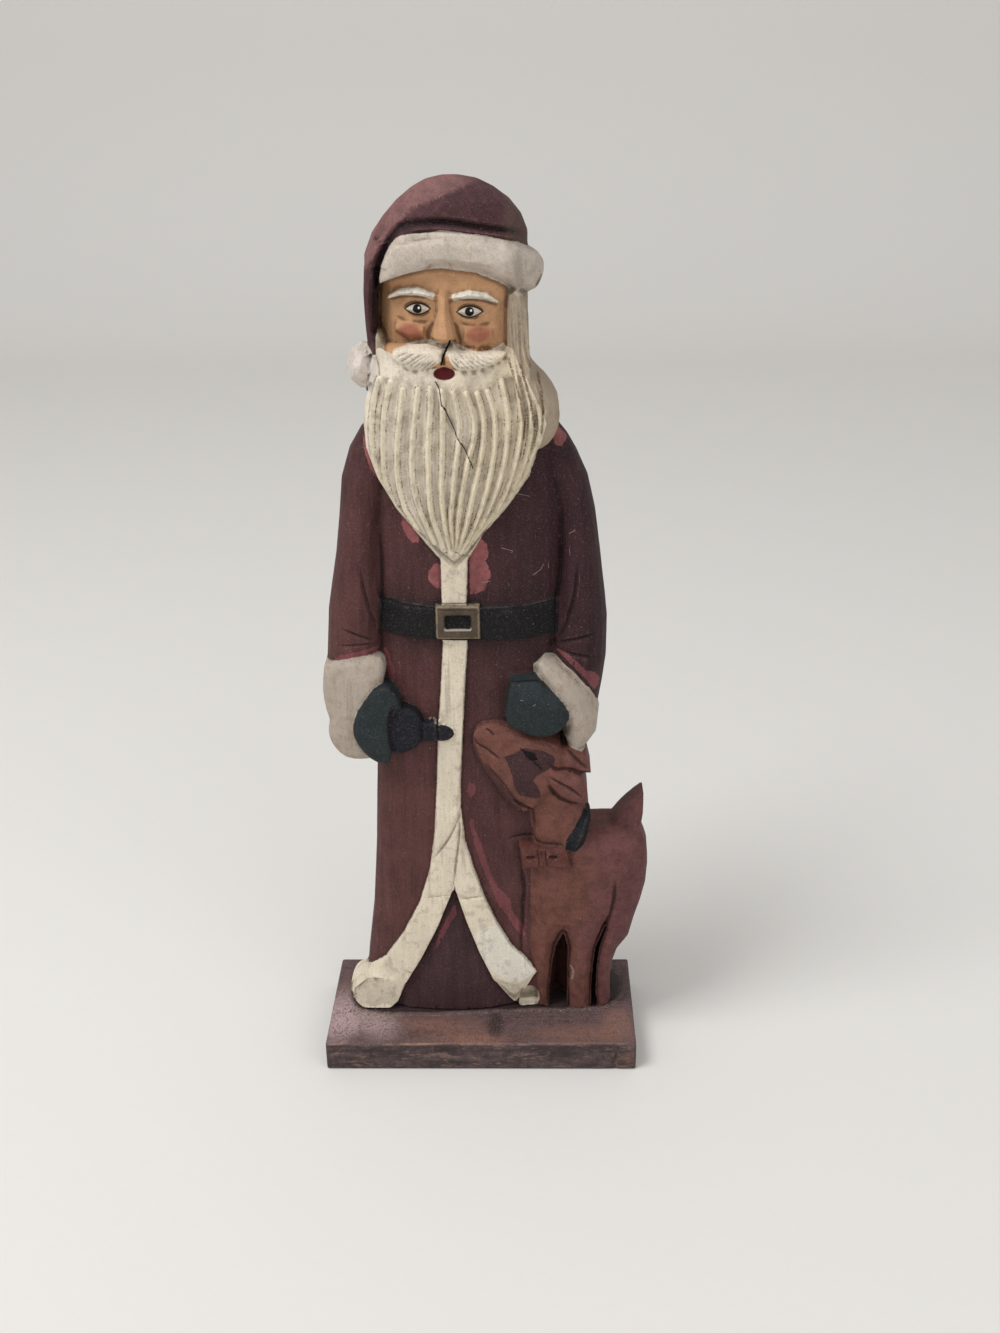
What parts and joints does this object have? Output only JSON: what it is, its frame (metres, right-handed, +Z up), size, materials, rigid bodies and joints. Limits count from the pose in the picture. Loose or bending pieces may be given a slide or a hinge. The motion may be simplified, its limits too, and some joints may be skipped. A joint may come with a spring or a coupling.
{
  "type": "carved santa figure",
  "caption": "Standing carved wooden Santa with a long fluted beard, belted coat and a fawn at his side, painted, on a board plinth.",
  "frame": {"origin": "centre of the plinth's underside", "axes": "+Z up, the figure faces -Y, +X runs to the fawn's side"},
  "size_m": [0.1067, 0.048, 0.2796],
  "materials": {
    "painted_wood": "carved softwood in matt hobby paint: maroon coat and cap, cream fur and beard, worn to the wood at the edges",
    "stained_wood": "dark brown stain over sawn wood, rubbed through along the edges"
  },
  "bodies": {
    "root": {"santa_carving": "painted_wood", "plinth": "stained_wood"}
  },
  "joints": []
}
